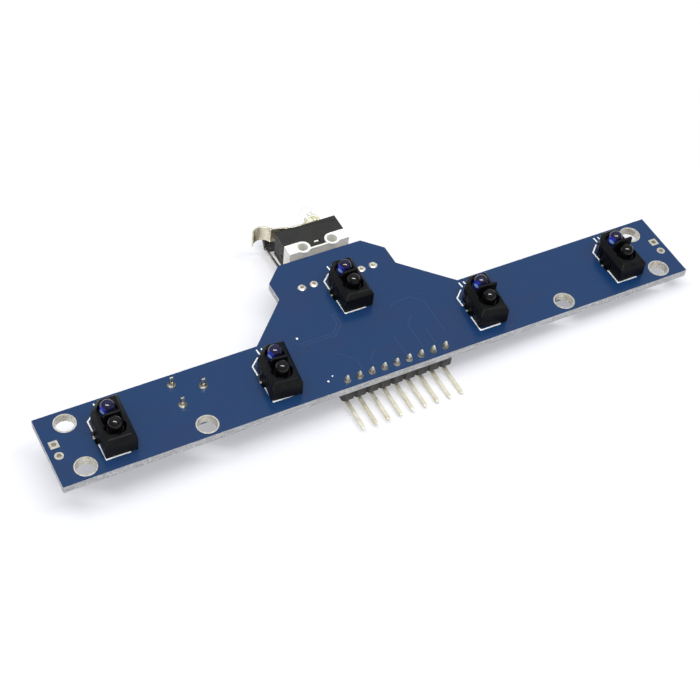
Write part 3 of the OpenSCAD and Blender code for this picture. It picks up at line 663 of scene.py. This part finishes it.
# Each group of joints: its face and direction, pad radius, top radius, height and how hollow the sides are
JOINTS = {
    "header_solder": (BOARD_TOP, 1, 0.66, 0.34, 0.66, 1.5),
    "trimmer_solder": (BOARD_TOP, 1, 0.78, 0.32, 0.62, 1.6),
    "obstacle_led_solder": (BOARD_TOP, 1, 0.76, 0.42, 0.24, 0.6),
    "sensor_solder": (BOARD_LOW, -1, 0.78, 0.32, 0.8, 2.0),
}
# How far their sides bulge, as a share of their radius
UNEVENNESS = 0.08
LEAD_END_RADIUS = 0.32
# The lead ends' lower and upper height above the board
LEAD_END_LOW, LEAD_END_HIGH = 0.2, 0.33


def joint(bm, p, face, sign, pad, top, height, hollow, seed):
    """A solder joint's uneven cone, rising from face in the direction of sign."""

    def wobble(turn, z):
        """How far the side bulges at that turn and height."""
        point = Vector((math.cos(turn), math.sin(turn), z)) * 0.8 + Vector((seed * 3.7, 0, 0))
        return 1 + UNEVENNESS * noise.noise(point)

    foot, rings = 0.07, 8
    profile = [(pad * 1.06, 0), (pad * 1.02, 0.05)]
    for t in (k / rings for k in range(rings + 1)):
        profile.append((top + (pad - top) * (1 - t) ** hollow, foot + (height - foot) * t))
    profile.append((0, height + 0.03))
    lathe(bm, profile, at(p.x, p.y, face) @ Matrix.Diagonal((1, 1, sign, 1)), 40, wobble=wobble)


def solder():
    """The joints of the header, trimmer, LEDs and sensors, and the LEDs' lead ends in theirs."""
    for node, shape in JOINTS.items():
        bm = bmesh.new()
        for k, p in enumerate(spots(node)):
            joint(bm, p, *shape, seed=k)
        pale = PALE_SOLDER if node == "obstacle_led_solder" else None
        add_piece(node + "_joints", bm, "solder", replaced=[node], material=pale, smooth=60)
    bm = bmesh.new()
    for p in spots("obstacle_led_solder"):
        puck(bm, p.x, p.y, BOARD_TOP + LEAD_END_LOW, BOARD_TOP + LEAD_END_HIGH, LEAD_END_RADIUS, 20)
    add_piece("led_lead_ends", bm, "lead", material=LEAD_END)


# ---------------------------------------------------------------- the rest of the nodes


def header():
    """The black strip and its bent pins."""
    refined("header_insulator", "header_plastic", edge=0.08)
    refined("header_pins", "pin", edge=0.05)


def switch():
    """The bump switch. Its cover is shaded flat, because smoothing leaves marks on its large top."""
    refined("switch_base", "switch_white", edge=0.09)
    refined("switch_cover", "switch_black", edge=0.08, whole_flats=False)
    refined("switch_lever", "lever_steel", "lever", edge=0.05)
    refined("lever_pivot_pin", "pin", edge=0.04, material=DARK_STEEL)
    refined("switch_plunger", "plunger_plastic", "plunger", edge=0.04)
    refined("switch_blade", "contact_metal", "blade", edge=0.02)
    for node in ("common_terminal", "normally_open_terminal", "normally_closed_terminal"):
        refined(node, "contact_metal", edge=0.03)
    refined("switch_solder", "solder", edge=0.06)


# How far both LEDs point up, and how far each is turned in plan
LED_TILT = math.radians(9)
LED_TURNS = {"emitter": 0, "receiver": math.radians(-15)}
LED_RADIUS = 1.5
FLANGE_RADIUS = 1.9
FLANGE_THICKNESS = 0.9
FLANGE_EDGE = 0.08


def led_lens(name, slot, flange):
    """A domed LED body lying on its side, its dome away from the board."""
    node = f"obstacle_{name}_lens"
    turn = Matrix.Rotation(LED_TURNS[name], 3, "Z")
    side = turn @ Vector((1, 0, 0))
    axis = turn @ Vector((0, math.cos(LED_TILT), math.sin(LED_TILT)))
    up = side.cross(axis)
    whole = merged(node)
    reach = [[v.co.dot(way) for v in whole.verts] for way in (side, up, axis)]
    whole.free()
    length = max(reach[2]) - min(reach[2])
    seat = axis * min(reach[2])
    for way, values in ((side, reach[0]), (up, reach[1])):
        seat += way * (min(values) + max(values)) / 2
    place = Matrix.Translation(seat) @ Matrix((side, -up, axis)).transposed().to_4x4()
    back = [(0, 0), (LED_RADIUS, 0)]
    if flange:
        inset, front = FLANGE_RADIUS - FLANGE_EDGE, FLANGE_THICKNESS - FLANGE_EDGE
        back = [(0, 0), (inset, 0), (FLANGE_RADIUS, FLANGE_EDGE), (FLANGE_RADIUS, front),
                (inset, FLANGE_THICKNESS), (LED_RADIUS, FLANGE_THICKNESS)]
    bm = bmesh.new()
    lathe(bm, back + dome(LED_RADIUS, length), place, 56)
    add_piece(node + "_body", bm, slot, replaced=[node])


def leds():
    """The clear and the dark infrared LED, with their leads."""
    led_lens("emitter", "clear_epoxy", True)
    led_lens("receiver", "detector_epoxy", False)
    refined("obstacle_emitter_leads", "lead", edge=0.04, material=PALE_SOLDER)
    refined("obstacle_receiver_leads", "lead", edge=0.04)


def trimmer():
    """The trimmer on the component side, whose wiper turns with its dial."""
    refined("trimmer_base", "trimmer_brown", edge=0.08)
    refined("trimmer_track", "carbon", edge=0.02)
    refined("trimmer_dial", "dial_plastic", "dial", edge=0.08)
    refined("trimmer_wiper", "contact_metal", "dial", edge=0.03)
    refined("trimmer_pins", "lead", edge=0.04)


def chips():
    """The comparators and the small chip parts on the component side."""
    refined("comparator_packages", "chip_black", edge=0.08)
    refined("comparator_leads", "lead", edge=0.03)
    refined("resistor_bodies", "chip_black", edge=0.03)
    refined("resistor_terminals", "solder", edge=0.04)
    refined("capacitor_bodies", "ceramic", edge=0.04)
    refined("capacitor_terminals", "solder", edge=0.05)
    refined("indicator_bodies", "indicator_red", edge=0.05)
    refined("indicator_terminals", "solder", edge=0.04)


keep("circuit_board", "board")
plated_rings()
end_pads()
silkscreen()
clip_spots()
tracks()
vias()
component_side()
sensors()
solder()
header()
switch()
leds()
trimmer()
chips()


# ---------------------------------------------------------------- floor, light and camera

# The camera's aim and distance, and its angles in degrees, as in the photograph
TARGET = Vector((-6.39, 0.26, 1.6)) * MM
DISTANCE = 272.5 * MM
AZIMUTH, ELEVATION, ROLL = -33.2, 48.9, 7.5
# The sky's strength
HORIZON_LIGHT, ZENITH_LIGHT = 0.25, 0.9
# How much the floor rises per millimetre along X and along Y, and how far below the part it stays
FLOOR_SLOPE = Vector((0.028, -0.035))
FLOOR_GAP = 0.1


def floor():
    """The sheet the part lies on, sloped so that both its clear LED and its header pins reach it."""
    bm = bmesh.new()
    bmesh.ops.create_grid(bm, x_segments=1, y_segments=1, size=1.5)
    mesh = bpy.data.meshes.new("floor")
    bm.to_mesh(mesh)
    bm.free()
    # The floor's own even emission, which keeps it evenly bright
    painted_glow_and_floor_emission = {"Emission_Color": (0.97, 0.97, 1.0, 1.0), "Emission_Strength": 0.37}
    paper = finish("floor", (191, 191, 195), 0.7, 0, (189, 189, 193), 0.02, 1, 0.0, **painted_glow_and_floor_emission)
    mesh.materials.append(paper)
    obj = bpy.data.objects.new("floor", mesh)
    heights = [
        low.z - FLOOR_SLOPE.dot((x, y))
        for low, high in map(box, frame["nodes"])
        for x in (low.x, high.x)
        for y in (low.y, high.y)
    ]
    obj.location.z = (min(heights) - FLOOR_GAP) * MM
    obj.rotation_euler = Vector((*-FLOOR_SLOPE, 1)).to_track_quat("Z", "Y").to_euler()
    bpy.context.scene.collection.objects.link(obj)


def around(azimuth, elevation):
    """The direction from the object to a place round it; azimuth 0 is in front, at -Y."""
    a, e = math.radians(azimuth), math.radians(elevation)
    return Vector((math.sin(a) * math.cos(e), -math.cos(a) * math.cos(e), math.sin(e)))


def softbox(name, azimuth, elevation, distance, width, height, watts, only_mirrored):
    """A rectangular light facing the object, which either lights it or is only mirrored in its gloss."""
    data = bpy.data.lights.new(name, "AREA")
    data.shape = "RECTANGLE"
    data.size = width
    data.size_y = height
    data.energy = watts
    obj = bpy.data.objects.new(name, data)
    direction = around(azimuth, elevation)
    obj.location = TARGET + direction * distance
    across = Vector((0, 0, 1)).cross(direction).normalized()
    turn = Matrix((across, direction.cross(across), direction)).transposed()
    obj.rotation_euler = turn.to_euler()
    obj.visible_diffuse = not only_mirrored
    obj.visible_glossy = only_mirrored
    bpy.context.scene.collection.objects.link(obj)


def camera():
    """A camera at the photograph's angle, distance and field of view."""
    data = bpy.data.cameras.new("camera")
    data.lens = 77.2
    data.sensor_width = 36
    data.clip_start = 0.01
    obj = bpy.data.objects.new("camera", data)
    direction = around(AZIMUTH, ELEVATION)
    turn = direction.to_track_quat("Z", "Y").to_matrix() @ Matrix.Rotation(math.radians(ROLL), 3, "Z")
    obj.matrix_world = Matrix.Translation(TARGET + direction * DISTANCE) @ turn.to_4x4()
    bpy.context.scene.collection.objects.link(obj)
    bpy.context.scene.camera = obj


def world():
    """Pale light from all round, stronger from above, and colours shown as they are."""
    sky = bpy.data.worlds.new("studio")
    sky.use_nodes = True
    nodes, links = sky.node_tree.nodes, sky.node_tree.links
    split = nodes.new("ShaderNodeSeparateXYZ")
    links.new(nodes.new("ShaderNodeTexCoord").outputs["Generated"], split.inputs[0])
    height = nodes.new("ShaderNodeMapRange")
    links.new(split.outputs["Z"], height.inputs["Value"])
    for socket, value in zip(height.inputs[1:5], (0.0, 0.95, HORIZON_LIGHT, ZENITH_LIGHT)):
        socket.default_value = value
    nodes["Background"].inputs["Color"].default_value = (0.96, 0.98, 1.0, 1.0)
    links.new(height.outputs["Result"], nodes["Background"].inputs["Strength"])
    bpy.context.scene.world = sky
    bpy.context.scene.view_settings.view_transform = "Standard"


floor()
softbox("strip", azimuth=147, elevation=88, distance=0.9, width=1.35, height=0.045, watts=6.5,
        only_mirrored=False)
softbox("glint", azimuth=-33, elevation=72, distance=0.6, width=0.6, height=0.1, watts=8.0,
        only_mirrored=True)
camera()
world()
